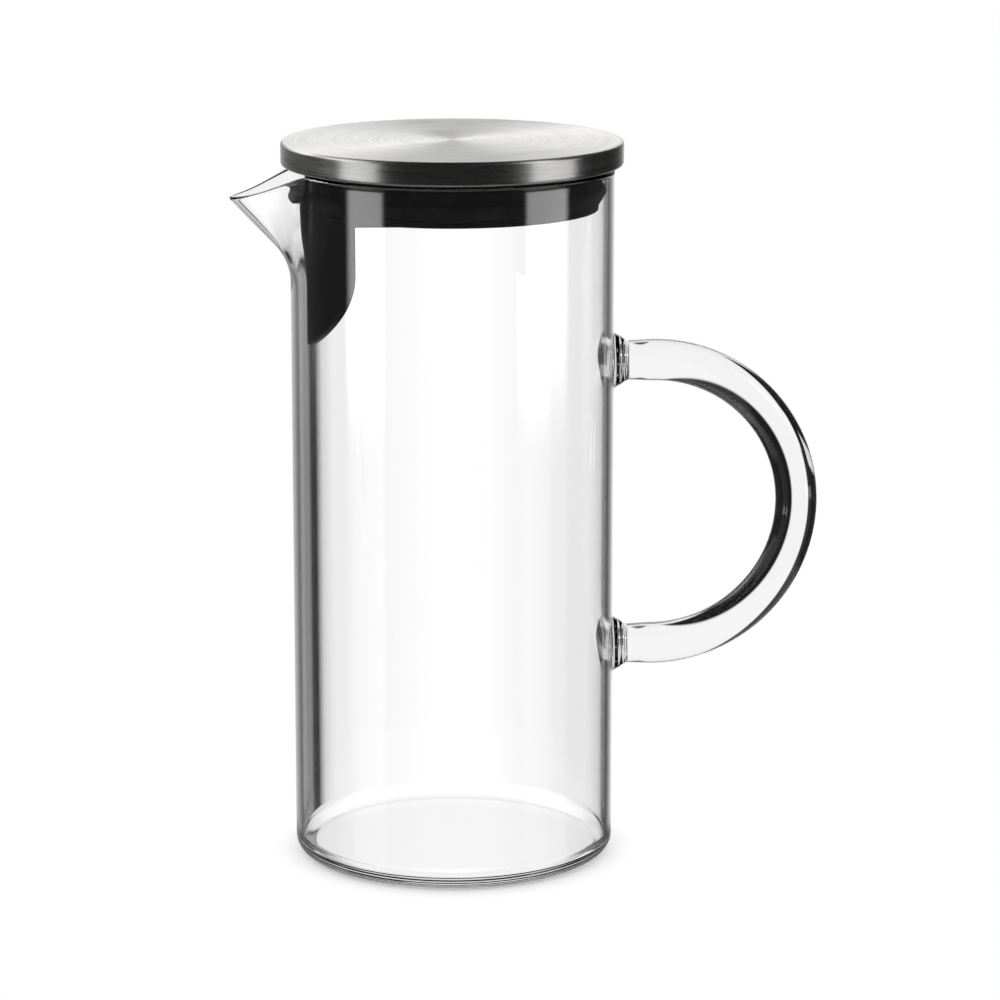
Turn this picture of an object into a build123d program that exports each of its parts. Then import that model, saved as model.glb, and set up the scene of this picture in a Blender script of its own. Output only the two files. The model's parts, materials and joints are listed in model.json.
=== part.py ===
"""Clear glass pitcher with a drawn pouring lip, a welded rod handle and a lift-off lid.

Millimetres, Z up. The origin is the centre of the base, the pouring lip points to -X and the handle to +X.
"""

import math
import os

from build123d import *
from build123d.topology import SkipClean

# Glass body
BODY_RADIUS = 50.0
WALL = 2.2
RIM_HEIGHT = 217.0
RIM_ROUND = 1.0
FLOOR_THICKNESS = 3.4
HEEL_RADIUS = 5.0
FLOOR_CORNER_RADIUS = 4.0

# Pouring lip drawn out of the wall
LIP_HALF_ANGLE = 26.0
LIP_NOSE_ANGLE = 3.0
LIP_DEPTH = 35.4
LIP_DROP = 8.0
LIP_EDGE_WALL = 1.1
KEEL_BEND_RADIUS = 17.0
KEEL_ANGLE = 43.5

# Handle, a bent rod with a welded foot at each end
ROD_RADIUS = 6.5
HANDLE_SPAN = 90.8
HANDLE_LIMB = 12.5
HANDLE_HEIGHT = 110.6
FOOT_RADIUS = 11.2
FLARE_RADIUS = 4.9
COLLAR_RADIUS = 7.7
COLLAR_STANDOFF = 2.0
COLLAR_SLOPE = 0.75
NECK_RADIUS = 6.15
NECK_STANDOFF = 5.0

# Steel cap
CAP_OVERHANG = 2.7
CAP_HEIGHT = 7.35
CAP_LIFT = 1.0
SHEET = 0.6
CAP_EDGE_RADIUS = 1.1
HEM_WIDTH = 2.4
HEM_BEND_RADIUS = 1.0

# Plug
PLUG_GAP = 2.8
PLUG_DEPTH = 12.4
PLUG_WALL = 2.0
PLUG_FLOOR = 1.8
PLUG_FLANGE = 1.6
PLUG_EDGE_RADIUS = 0.4
RIB_COUNT = 6
RIB_THICKNESS = 1.6
HUB_RADIUS = 6.0

# Seal
SEAL_FLANGE = 0.7
SEAL_FLANGE_INSET = 0.6
SEAL_HOOP = 1.9
SEAL_PROUD = 0.3
SEAL_LIP_LENGTH = 3.7
SEAL_LIP_THICKNESS = 1.4
SEAL_LIP_ROUND = 0.5
SEAL_LIP_ROOT = 0.8
SEAL_LIP_HEIGHT = 3.3
SEAL_FLAT_ANGLE = 9.0
SEAL_BENT_ANGLE = 21.0

# Guard that hangs in front of the pouring lip
GUARD_HALF_ANGLE = 43.4
GUARD_THICKNESS = 1.8
GUARD_SIDE = 16.4
GUARD_TIP = 25.5
SEAT_WIDTH = 13.0
SEAT_THICKNESS = 1.5
PEG_RADIUS = 2.0
PEG_INSET = 9.0
PEG_ANGLE = 24.0
PEG_HEAD_RADIUS = 3.0
PEG_HEAD_HEIGHT = 1.2

# Clearances
FIT = 0.1
TURN_GAP = 0.25
RIM_GAP = 0.15
SEAL_WALL_GAP = 0.3

# Levels and radii that follow from the sizes above
BORE = BODY_RADIUS - WALL
LIP_START = RIM_HEIGHT - LIP_DEPTH
NOSE_RISE = LIP_DEPTH - LIP_DROP - RIM_ROUND
LIP_THINNING = (WALL - LIP_EDGE_WALL) / math.cos(math.radians(KEEL_ANGLE))
CAP_RADIUS = BODY_RADIUS + CAP_OVERHANG
CAP_BOTTOM = RIM_HEIGHT + CAP_LIFT
CAP_TOP = CAP_BOTTOM + CAP_HEIGHT
PLUG_RADIUS = BORE - PLUG_GAP
PLUG_BOTTOM = RIM_HEIGHT - PLUG_DEPTH
PLUG_FLOOR_TOP = PLUG_BOTTOM + PLUG_FLOOR
SEAL_TOP = RIM_HEIGHT + RIM_GAP + SEAL_FLANGE
SEAL_OUTER = PLUG_RADIUS + SEAL_PROUD
SEAL_INNER = SEAL_OUTER - SEAL_HOOP
GROOVE_RADIUS = SEAL_INNER - TURN_GAP
CUP_INNER = GROOVE_RADIUS - PLUG_WALL
PEG_CIRCLE = PLUG_RADIUS - PEG_INSET


def polar(radius, angle, height):
    """Point at an angle in degrees from the -X side."""
    turn = math.radians(180 + angle)
    return Vector(radius * math.cos(turn), radius * math.sin(turn), height)


def turned(points, rounds=()):
    """Solid turned about Z from radius and height pairs, with the corners listed in rounds rounded."""
    face = Face(Wire.make_polygon([(r, 0, z) for r, z in points]))
    for radius, (r, z) in rounds:
        corner = face.vertices().sort_by_distance((r, 0, z))[0]
        face = face.fillet_2d(radius, [corner])
    return revolve(face, Axis.Z, 360)


def keel(height, bend_radius):
    """How far the ridge of the pouring lip stands out of the wall at a height."""
    slope = math.radians(KEEL_ANGLE)
    rise = height - LIP_START
    bend_rise = bend_radius * math.sin(slope)
    if rise < bend_rise:
        return bend_radius - math.sqrt(bend_radius**2 - rise**2)
    return bend_radius * (1 - math.cos(slope)) + (rise - bend_rise) * math.tan(slope)


def lip_share(angle):
    """Share of the ridge's reach that the lip has at an angle from its middle."""
    at = math.hypot(angle, LIP_NOSE_ANGLE) - LIP_NOSE_ANGLE
    end = math.hypot(LIP_HALF_ANGLE, LIP_NOSE_ANGLE) - LIP_NOSE_ANGLE
    return (1 - at / end) ** 2


def thinning(height, angle):
    """How far the inner face moves out level where the drawn glass gets thinner."""
    return lip_share(angle) * LIP_THINNING * (height - LIP_START) / NOSE_RISE


def outer_radius(height, angle):
    return BODY_RADIUS + lip_share(angle) * keel(height, KEEL_BEND_RADIUS)


def inner_radius(height, angle):
    return BORE + lip_share(angle) * keel(height, KEEL_BEND_RADIUS + WALL) + thinning(height, angle)


def wall_line(angle, radius, top):
    """One face of the glass, from the foot of the lip up to its edge, at an angle from the lip's middle."""
    steps = 10
    heights = [LIP_START + (top - LIP_START) * i / steps for i in range(steps + 1)]
    points = [polar(radius(z, angle), angle, z) for z in heights]
    if lip_share(angle) < 1e-9:
        return Edge.make_line(points[0], points[-1])
    return Edge.make_spline(points)


def lip_section(angle):
    """Upright cut through the glass at an angle from the lip's middle, with the melted round of its edge."""
    lean = math.atan(lip_share(angle) * math.tan(math.radians(KEEL_ANGLE)))
    dip = LIP_DROP * math.cos(math.radians(90 * angle / LIP_HALF_ANGLE)) ** 2
    middle = RIM_HEIGHT - RIM_ROUND - dip
    edge_wall = WALL - thinning(middle, angle) * math.cos(lean)
    offset = edge_wall / 2 * math.sin(lean)
    outer = wall_line(angle, outer_radius, middle - offset)
    inner = wall_line(angle, inner_radius, middle + offset)
    rise = RIM_ROUND * edge_wall / WALL
    crown = (outer @ 1 + inner @ 1) / 2 + polar(rise * math.sin(lean), angle, rise * math.cos(lean))
    edge = Edge.make_three_point_arc(outer @ 1, crown, inner @ 1)
    return Wire([outer, edge, inner, Edge.make_line(inner @ 0, outer @ 0)])


def make_glass_body():
    """Jug with its floor, wall, rim and pouring lip."""
    shell = Pos(0, 0, LIP_START / 2) * Cylinder(BODY_RADIUS, LIP_START)
    shell = fillet(shell.edges().group_by(Axis.Z)[0], HEEL_RADIUS)
    depth = LIP_START - FLOOR_THICKNESS
    hollow = Pos(0, 0, FLOOR_THICKNESS + depth / 2) * Cylinder(BORE, depth)
    hollow = fillet(hollow.edges().group_by(Axis.Z)[0], FLOOR_CORNER_RADIUS)
    neck = revolve(Face(lip_section(LIP_HALF_ANGLE)), Axis.Z, 360 - 2 * LIP_HALF_ANGLE)
    steps = 9
    side = [LIP_HALF_ANGLE * (i / steps) ** 1.5 for i in range(1, steps + 1)]
    angles = [-a for a in reversed(side)] + [0] + side
    lip = Solid.make_loft([lip_section(a) for a in angles])
    with SkipClean():
        return (shell - hollow).fuse(neck, Part(lip.wrapped), tol=1e-4)


def make_foot():
    """Welded end and tapered limb of the handle, turned about X with the wall's nearest point at X = 0."""
    wall_sag = BODY_RADIUS - math.sqrt(BODY_RADIUS**2 - FOOT_RADIUS**2)
    sink = -2 * wall_sag
    flare_start = Vector(-wall_sag, 0, FOOT_RADIUS)
    flare_end = Vector(COLLAR_STANDOFF, 0, COLLAR_RADIUS)
    chord = flare_end - flare_start
    flare_sag = FLARE_RADIUS - math.sqrt(FLARE_RADIUS**2 - (chord.length / 2) ** 2)
    hollow = Vector(0, 1, 0).cross(chord).normalized()
    flare_middle = (flare_start + flare_end) / 2 + hollow * flare_sag
    neck = (NECK_STANDOFF, 0, NECK_RADIUS)
    rod = (HANDLE_LIMB, 0, ROD_RADIUS)
    outline = [
        Edge.make_line((sink, 0, 0), (sink, 0, FOOT_RADIUS)),
        Edge.make_line((sink, 0, FOOT_RADIUS), flare_start),
        Edge.make_three_point_arc(flare_start, flare_middle, flare_end),
        Edge.make_spline([flare_end, neck], tangents=[(1, 0, -COLLAR_SLOPE), (1, 0, 0)]),
        Edge.make_spline([neck, rod], tangents=[(1, 0, 0), (1, 0, 0)]),
        Edge.make_line(rod, (HANDLE_LIMB, 0, 0)),
        Edge.make_line((HANDLE_LIMB, 0, 0), (sink, 0, 0)),
    ]
    return revolve(Face(Wire(outline)), Axis.X, 360)


def make_glass_handle():
    """Bent rod with its two welded feet, which fit the wall."""
    half = HANDLE_SPAN / 2
    bend_x = BODY_RADIUS + HANDLE_LIMB
    end = Plane((bend_x, 0, HANDLE_HEIGHT + half), x_dir=(0, 1, 0), z_dir=(1, 0, 0))
    handle = revolve(end * Circle(ROD_RADIUS), Axis((bend_x, 0, HANDLE_HEIGHT), (0, 1, 0)), 180)
    for z in (HANDLE_HEIGHT - half, HANDLE_HEIGHT + half):
        handle += Pos(BODY_RADIUS, 0, z) * make_foot()
    return handle - Pos(0, 0, RIM_HEIGHT / 2) * Cylinder(BODY_RADIUS, RIM_HEIGHT)


def make_lid_cap():
    """Thin steel cover with its edge turned in under the plug's flange."""
    hem = CAP_RADIUS - HEM_WIDTH
    inner = CAP_RADIUS - SHEET
    points = [
        (0, CAP_TOP),
        (CAP_RADIUS, CAP_TOP),
        (CAP_RADIUS, CAP_BOTTOM),
        (hem, CAP_BOTTOM),
        (hem, CAP_BOTTOM + SHEET),
        (inner, CAP_BOTTOM + SHEET),
        (inner, CAP_TOP - SHEET),
        (0, CAP_TOP - SHEET),
    ]
    rounds = [
        (CAP_EDGE_RADIUS, points[1]),
        (HEM_BEND_RADIUS, points[2]),
        (HEM_BEND_RADIUS - SHEET, points[5]),
        (CAP_EDGE_RADIUS - SHEET, points[6]),
    ]
    return turned(points, rounds)


def make_lid_plug():
    """Hollow plug with a groove for the seal, a flange held by the cap and ribs that carry the cap."""
    step = CAP_RADIUS - HEM_WIDTH - FIT
    flange = CAP_RADIUS - SHEET - FIT
    flange_bottom = CAP_BOTTOM + SHEET + FIT
    points = [
        (0, PLUG_BOTTOM),
        (PLUG_RADIUS, PLUG_BOTTOM),
        (PLUG_RADIUS, PLUG_FLOOR_TOP),
        (GROOVE_RADIUS, PLUG_FLOOR_TOP),
        (GROOVE_RADIUS, SEAL_TOP + FIT),
        (step, SEAL_TOP + FIT),
        (step, flange_bottom),
        (flange, flange_bottom),
        (flange, flange_bottom + PLUG_FLANGE),
        (CUP_INNER, flange_bottom + PLUG_FLANGE),
        (CUP_INNER, PLUG_FLOOR_TOP),
        (0, PLUG_FLOOR_TOP),
    ]
    plug = turned(points, [(PLUG_EDGE_RADIUS, points[1]), (HEM_BEND_RADIUS - SHEET, points[7])])
    rib_height = CAP_TOP - SHEET - FIT - PLUG_FLOOR_TOP
    middle = PLUG_FLOOR_TOP + rib_height / 2
    plug += Pos(0, 0, middle) * Cylinder(HUB_RADIUS, rib_height)
    rib = Pos(CUP_INNER / 2, 0, middle) * Box(CUP_INNER + FIT, RIB_THICKNESS, rib_height)
    for i in range(RIB_COUNT):
        plug += Rot(0, 0, 360 * i / RIB_COUNT) * rib
    for angle in (-PEG_ANGLE, PEG_ANGLE):
        plug -= Pos(polar(PEG_CIRCLE, angle, PLUG_BOTTOM)) * Cylinder(PEG_RADIUS + FIT, 4 * PLUG_FLOOR)
    return plug


def seal_section(angle):
    """Upright cut through the seal's lip, bent up by the bore and flat where the pouring lip opens."""
    half = SEAL_LIP_THICKNESS / 2
    room = BORE - SEAL_WALL_GAP - SEAL_OUTER
    bent = math.acos(room / math.hypot(SEAL_LIP_LENGTH, half)) + math.atan2(half, SEAL_LIP_LENGTH)
    along = (abs(angle) - SEAL_FLAT_ANGLE) / (SEAL_BENT_ANGLE - SEAL_FLAT_ANGLE)
    along = min(max(along, 0), 1)
    tilt = bent * (3 - 2 * along) * along**2
    height = PLUG_BOTTOM + SEAL_LIP_HEIGHT

    def place(out, up):
        radius = SEAL_OUTER + out * math.cos(tilt) - up * math.sin(tilt)
        return polar(radius, angle, height + out * math.sin(tilt) + up * math.cos(tilt))

    root_low, root_high = place(-SEAL_LIP_ROOT, -half), place(-SEAL_LIP_ROOT, half)
    tip_low, tip_high = place(SEAL_LIP_LENGTH, -half), place(SEAL_LIP_LENGTH, half)
    end = place(SEAL_LIP_LENGTH + SEAL_LIP_ROUND, 0)
    return Wire(
        [
            Edge.make_line(root_low, tip_low),
            Edge.make_three_point_arc(tip_low, end, tip_high),
            Edge.make_line(tip_high, root_high),
            Edge.make_line(root_high, root_low),
        ]
    )


def make_seal_ring():
    """Ring round the plug with a flange over the rim and one bending lip."""
    bottom = PLUG_FLOOR_TOP + FIT
    flange_bottom = RIM_HEIGHT + RIM_GAP
    flange = BODY_RADIUS - SEAL_FLANGE_INSET
    hoop = turned(
        [
            (SEAL_INNER, bottom),
            (SEAL_OUTER, bottom),
            (SEAL_OUTER, flange_bottom),
            (flange, flange_bottom),
            (flange, SEAL_TOP),
            (SEAL_INNER, SEAL_TOP),
        ]
    )
    bent = revolve(Face(seal_section(SEAL_BENT_ANGLE)), Axis.Z, 360 - 2 * SEAL_BENT_ANGLE)
    steps = 5
    turn = SEAL_BENT_ANGLE - SEAL_FLAT_ANGLE
    side = [SEAL_FLAT_ANGLE / 2] + [SEAL_FLAT_ANGLE + turn * i / steps for i in range(steps + 1)]
    angles = [-a for a in reversed(side)] + [0] + side
    free = Solid.make_loft([seal_section(a) for a in angles])
    with SkipClean():
        return hoop.fuse(bent, Part(free.wrapped), tol=1e-4)


def make_spout_guard():
    """Curved tongue with a seat under the plug and two pegs riveted over inside it."""
    width = PLUG_RADIUS * math.sin(math.radians(GUARD_HALF_ANGLE))
    side_end = PLUG_BOTTOM - GUARD_SIDE
    tip_plane = Plane((0, 0, side_end), x_dir=(0, 1, 0), z_dir=(1, 0, 0))
    outline = [
        Edge.make_line((0, width, side_end), (0, width, PLUG_BOTTOM)),
        Edge.make_line((0, width, PLUG_BOTTOM), (0, -width, PLUG_BOTTOM)),
        Edge.make_line((0, -width, PLUG_BOTTOM), (0, -width, side_end)),
        Edge.make_ellipse(width, GUARD_TIP, tip_plane, start_angle=180, end_angle=360),
    ]
    prism = extrude(Face(Wire(outline)), 2 * BODY_RADIUS, dir=(-1, 0, 0))
    length = GUARD_SIDE + GUARD_TIP
    shell = Cylinder(PLUG_RADIUS, length) - Cylinder(PLUG_RADIUS - GUARD_THICKNESS, length)
    guard = prism & (Pos(0, 0, PLUG_BOTTOM - length / 2) * shell)
    seat = Cylinder(PLUG_RADIUS, SEAT_THICKNESS) - Cylinder(PLUG_RADIUS - SEAT_WIDTH, SEAT_THICKNESS)
    guard += prism & (Pos(0, 0, PLUG_BOTTOM - SEAT_THICKNESS / 2) * seat)
    for angle in (-PEG_ANGLE, PEG_ANGLE):
        shank = Pos(0, 0, PLUG_FLOOR / 2) * Cylinder(PEG_RADIUS, PLUG_FLOOR)
        head = Pos(0, 0, PLUG_FLOOR + PEG_HEAD_HEIGHT / 2) * Cylinder(PEG_HEAD_RADIUS, PEG_HEAD_HEIGHT)
        guard += Pos(polar(PEG_CIRCLE, angle, PLUG_BOTTOM)) * (shank + head)
    return guard


def main():
    os.makedirs("parts", exist_ok=True)
    nodes = {
        "glass_body": make_glass_body(),
        "glass_handle": make_glass_handle(),
        "lid_cap": make_lid_cap(),
        "lid_plug": make_lid_plug(),
        "seal_ring": make_seal_ring(),
        "spout_guard": make_spout_guard(),
    }
    for name, solid in nodes.items():
        export_step(solid, f"parts/{name}.step")


main()
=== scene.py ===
# %% [markdown]
# # A glass pitcher with a steel lid
# The pitcher is a straight glass jug with a drawn pouring lip, a bent glass rod for a handle and a
# lift-off lid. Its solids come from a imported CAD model, which fixes every size and place. This lesson
# remodels the pieces that the eye sees, gives each one its finish and sets up a small studio for glass.

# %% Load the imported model
import json
import math

import bpy
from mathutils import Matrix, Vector

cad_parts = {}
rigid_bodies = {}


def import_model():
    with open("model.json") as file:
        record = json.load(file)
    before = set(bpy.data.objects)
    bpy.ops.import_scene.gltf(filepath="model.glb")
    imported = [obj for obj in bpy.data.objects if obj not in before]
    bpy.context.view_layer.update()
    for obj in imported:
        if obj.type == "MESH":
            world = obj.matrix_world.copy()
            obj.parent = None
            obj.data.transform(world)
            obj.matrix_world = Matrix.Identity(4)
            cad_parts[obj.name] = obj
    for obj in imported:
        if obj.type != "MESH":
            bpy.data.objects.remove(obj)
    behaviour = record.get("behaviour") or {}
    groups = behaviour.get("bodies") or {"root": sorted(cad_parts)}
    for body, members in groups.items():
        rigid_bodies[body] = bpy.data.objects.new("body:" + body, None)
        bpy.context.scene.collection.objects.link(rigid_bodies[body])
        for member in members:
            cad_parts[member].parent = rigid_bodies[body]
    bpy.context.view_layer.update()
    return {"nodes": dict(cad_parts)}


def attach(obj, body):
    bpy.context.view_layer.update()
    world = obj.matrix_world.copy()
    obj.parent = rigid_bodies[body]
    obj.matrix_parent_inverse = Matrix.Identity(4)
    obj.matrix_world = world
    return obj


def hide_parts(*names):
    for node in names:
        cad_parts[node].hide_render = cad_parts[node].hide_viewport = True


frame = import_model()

MM = 0.001
nodes = frame["nodes"]
print("CAD nodes:", ", ".join(sorted(nodes)))

# %% [markdown]
# ## The camera
# The photograph looks slightly down on the pitcher through a long lens, and the pitcher is turned a few
# degrees, with its lip towards the viewer. A long lens keeps the upright walls nearly parallel. The
# camera is placed first, so that every later render can be laid over the photograph.

# %% Camera at the photograph's angle
CAMERA_PLACE = (-0.07286, -1.25147, 0.3888)
LOOK_DOWN = 12.444
LOOK_ASIDE = 4.0
LENS = 147.9
SENSOR_WIDTH = 36
FARTHEST_SEEN = 20

bpy.ops.object.select_all(action="DESELECT")
aim = (math.radians(90 - LOOK_DOWN), 0, math.radians(-LOOK_ASIDE))
bpy.ops.object.camera_add(location=CAMERA_PLACE, rotation=aim)
camera = bpy.context.object
camera.name = "camera"
camera.data.lens = LENS
camera.data.sensor_width = SENSOR_WIDTH
camera.data.clip_end = FARTHEST_SEEN
bpy.context.scene.camera = camera
bpy.context.scene.view_settings.view_transform = "Standard"
print("camera looks down", LOOK_DOWN, "degrees through a lens of", LENS, "mm")

# %% [markdown]
# ## Turning a piece
# The jug's wall, the lid's cover and the seal are all round, so each can be drawn as half a section
# and spun about the upright axis, as on a potter's wheel. The pen starts as a plane merged to a single
# vertex, and each extrude draws one stroke. Corners get an arc, with a short straight hold on both
# sides, so that smooth shading bends the light in the arc and leaves the flats flat.

# %% Arcs and rounded corners
ARC_STEPS = 10
HOLD = 0.12


def arc(centre, radius, start, end, steps=ARC_STEPS):
    """Points of an arc in a half section, from one angle to another in degrees."""
    turns = [math.radians(start + (end - start) * i / steps) for i in range(steps + 1)]
    return [(centre[0] + radius * math.cos(t), centre[1] + radius * math.sin(t)) for t in turns]


def stroke(corners, steps=ARC_STEPS):
    """Points along straight runs whose corners, given as radius, height and rounding, become arcs."""
    points = []
    for i, (r, z, rounding) in enumerate(corners):
        corner = Vector((r, z))
        if not rounding:
            points.append((r, z))
            continue
        back = (Vector(corners[i - 1][:2]) - corner).normalized()
        ahead = (Vector(corners[(i + 1) % len(corners)][:2]) - corner).normalized()
        half = back.angle(ahead) / 2
        reach = rounding / math.tan(half)
        centre = corner + (back + ahead).normalized() * rounding / math.sin(half)
        first = corner + back * reach - centre
        last = corner + ahead * reach - centre
        start = math.degrees(math.atan2(first.y, first.x))
        sweep = (math.degrees(math.atan2(last.y, last.x)) - start + 180) % 360 - 180
        points.append(tuple(corner + back * (reach + HOLD)))
        points += arc(centre, rounding, start, start + sweep, steps)
        points.append(tuple(corner + ahead * (reach + HOLD)))
    return points


print("corner arcs of", ARC_STEPS, "steps with a hold of", HOLD, "mm")

# %% Drawing and spinning
TURN_STEPS = 480
MERGE_GAP = 0.002


def clear_selection():
    """Leave edit mode and select nothing."""
    if bpy.context.object and bpy.context.object.mode != "OBJECT":
        bpy.ops.object.mode_set(mode="OBJECT")
    bpy.ops.object.select_all(action="DESELECT")


def draw(name, points):
    """New mesh with one line of edges through radius and height pairs in millimetres."""
    clear_selection()
    bpy.ops.mesh.primitive_plane_add(size=MM)
    piece = bpy.context.object
    piece.name = piece.data.name = name
    bpy.ops.object.mode_set(mode="EDIT")
    bpy.ops.mesh.select_mode(type="VERT")
    bpy.ops.mesh.merge(type="CENTER")
    pen = Vector((0, 0, 0))
    for i, (r, z) in enumerate(points):
        target = Vector((r, 0, z)) * MM
        if i == 0:
            bpy.ops.transform.translate(value=target - pen)
        else:
            bpy.ops.mesh.extrude_vertices_move(TRANSFORM_OT_translate={"value": target - pen})
        pen = target
    return piece


def spin_round(piece, steps=TURN_STEPS):
    """Spin the drawn line once round the upright axis, close its seam and turn its faces outwards."""
    bpy.ops.mesh.select_all(action="SELECT")
    bpy.ops.mesh.spin(steps=steps, angle=2 * math.pi, center=(0, 0, 0), axis=(0, 0, 1))
    bpy.ops.mesh.select_all(action="SELECT")
    bpy.ops.mesh.remove_doubles(threshold=MERGE_GAP * MM)
    bpy.ops.mesh.normals_make_consistent(inside=False)
    bpy.ops.object.mode_set(mode="OBJECT")
    return piece


print("a full turn takes", TURN_STEPS, "steps")

# %% [markdown]
# ## The blown body
# The jug is one wall of even thickness that turns into a thicker floor, with a melted round rim. Its
# half section runs from the middle of the base out round the heel, up the wall, over the rim and down
# again inside. Rows of points are close together where the pouring lip will be drawn out, because the
# lip bends every row.

# %% Half section of the body
BODY_RADIUS = 50.0
WALL = 2.2
BORE = BODY_RADIUS - WALL
RIM_HEIGHT = 217.0
RIM_ROUND = 1.0
RIM_SPRING = RIM_HEIGHT - RIM_ROUND
FLOOR = 3.4
HEEL_RADIUS = 5.0
FLOOR_CORNER = 4.0
LIP_DEPTH = 35.4
LIP_START = RIM_HEIGHT - LIP_DEPTH
LIP_ROWS = 40
WALL_ROWS = [20, 50, 80, 110, 140, 165, 178]
HEEL_STEPS = 20
RIM_STEPS = 12
CORNER_STEPS = 16

lip_rows = [LIP_START + (RIM_SPRING - LIP_START) * i / LIP_ROWS for i in range(LIP_ROWS + 1)]
rows = WALL_ROWS + lip_rows
rim_radius = ((WALL / 2) ** 2 + RIM_ROUND**2) / (2 * RIM_ROUND)
rim_side = math.degrees(math.acos(WALL / 2 / rim_radius))
rim_centre = (BODY_RADIUS - WALL / 2, RIM_HEIGHT - rim_radius)
heel = [(0, 0, 0), (BODY_RADIUS, 0, HEEL_RADIUS), (BODY_RADIUS, LIP_START, 0)]
corner = [(BORE, LIP_START, 0), (BORE, FLOOR, FLOOR_CORNER), (0, FLOOR, 0)]
section = stroke(heel, HEEL_STEPS)[:-1] + [(BODY_RADIUS, z) for z in rows]
section += arc(rim_centre, rim_radius, rim_side, 180 - rim_side, RIM_STEPS)[1:-1]
section += [(BORE, z) for z in reversed(rows)] + stroke(corner, CORNER_STEPS)[1:]
blown_body = spin_round(draw("blown_body", section))
print("half section of", len(section), "points")

# %% [markdown]
# ## The pouring lip
# On the real jug a glassblower softens the rim and draws it out with one stroke of a tool. The ridge
# below leaves the wall in a bend and then runs straight, the sides sweep back into the round wall, and
# the rim dips towards the nose. A sculpted pull would do it roughly. Here each vertex above the bend is
# moved by the same few rules. The drawn glass gets thinner on its way out, to half the wall at the nose.

# %% Rules of the drawn lip
LIP_HALF_ANGLE = 26.0
LIP_NOSE_ANGLE = 3.0
LIP_DROP = 8.0
LIP_EDGE_WALL = 1.1
KEEL_BEND = 17.0
KEEL_ANGLE = 43.5
NOSE_RISE = RIM_SPRING - LIP_DROP - LIP_START
LIP_THINNING = (WALL - LIP_EDGE_WALL) / math.cos(math.radians(KEEL_ANGLE))


def keel(height, bend):
    """How far the ridge stands out of the wall at a height."""
    slope = math.radians(KEEL_ANGLE)
    rise = max(height - LIP_START, 0)
    bend_rise = bend * math.sin(slope)
    if rise < bend_rise:
        return bend - math.sqrt(bend**2 - rise**2)
    return bend * (1 - math.cos(slope)) + (rise - bend_rise) * math.tan(slope)


def lip_share(angle):
    """Share of the ridge's reach at an angle from the middle of the lip."""
    at = math.hypot(angle, LIP_NOSE_ANGLE) - LIP_NOSE_ANGLE
    end = math.hypot(LIP_HALF_ANGLE, LIP_NOSE_ANGLE) - LIP_NOSE_ANGLE
    return (1 - at / end) ** 2


def thinning(height, share):
    """How far the inner face moves out level where the drawn glass gets thinner."""
    return share**2 * LIP_THINNING * max(height - LIP_START, 0) / NOSE_RISE


def outer_radius(height, share):
    """Radius of the outer face of the lip."""
    return BODY_RADIUS + share * keel(height, KEEL_BEND)


def inner_radius(height, share):
    """Radius of the inner face, which bends on a larger arc."""
    return BORE + share * keel(height, KEEL_BEND + WALL) + thinning(height, share)


print("the ridge stands out by", round(keel(RIM_SPRING - LIP_DROP, KEEL_BEND), 2), "mm at the nose")

# %% Draw the lip out of the wall
NEAR = 0.01


def drawn_out(radius, height, angle):
    """Where a point of the plain wall goes when the lip is drawn."""
    share = lip_share(angle)
    lean = math.atan(share * math.tan(math.radians(KEEL_ANGLE)))
    dip = LIP_DROP * math.cos(math.radians(90 * angle / LIP_HALF_ANGLE)) ** 2
    middle = RIM_SPRING - dip
    edge_wall = WALL - thinning(middle, share) * math.cos(lean)
    offset = edge_wall / 2 * math.sin(lean)
    outer, inner = (outer_radius, middle - offset), (inner_radius, middle + offset)
    if height <= RIM_SPRING + NEAR:
        face, top = outer if radius > BORE + WALL / 2 else inner
        z = LIP_START + (height - LIP_START) / (RIM_SPRING - LIP_START) * (top - LIP_START)
        return face(z, share), z
    ends = [Vector((face(top, share), top)) for face, top in (outer, inner)]
    across = (radius - BORE - WALL / 2) / (WALL / 2)
    up = Vector((math.sin(lean), math.cos(lean))) * (height - RIM_SPRING) * edge_wall / WALL
    return (ends[0] + ends[1]) / 2 + (ends[0] - ends[1]) / 2 * across + up


for vertex in blown_body.data.vertices:
    x, y, z = vertex.co / MM
    angle = abs(math.degrees(math.atan2(-y, -x)))
    if z > LIP_START and angle < LIP_HALF_ANGLE:
        plain = math.hypot(x, y)
        radius, z = drawn_out(plain, z, angle)
        vertex.co = Vector((x * radius / plain, y * radius / plain, z)) * MM
blown_body.data.update()
print("lip reaches", round(min(v.co.x for v in blown_body.data.vertices) / MM, 2), "mm")

# %% [markdown]
# ## The handle
# The handle is a solid glass rod bent in a half circle. Each end was melted onto the wall, which leaves
# a limb that tapers to a neck, a small collar and a flared foot. A circle is spun through the bend, and
# its two end rings are then extruded towards the wall and scaled ring by ring. The last ring goes a
# little way into the wall.

# %% Rings of a foot
ROD_RADIUS = 6.5
HANDLE_LIMB = 12.5
FOOT_RADIUS = 11.2
FLARE_RADIUS = 4.9
COLLAR = (2.0, 7.7)
COLLAR_SLOPE = 0.75
NECK = (5.0, 6.15)
FOOT_SINK = 0.3
NECK_STEPS = 16
COLLAR_STEPS = 12
FLARE_STEPS = 16


def ease(start, end, slope, steps):
    """Rings from one standoff and radius to another, leaving at a slope and arriving level."""
    rings = []
    run = end[0] - start[0]
    for i in range(1, steps + 1):
        t = i / steps
        rise = (2 * t**3 - 3 * t**2 + 1) * start[1] + (3 * t**2 - 2 * t**3) * end[1]
        rings.append((start[0] + run * t, rise + (t**3 - 2 * t**2 + t) * run * slope))
    return rings


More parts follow.
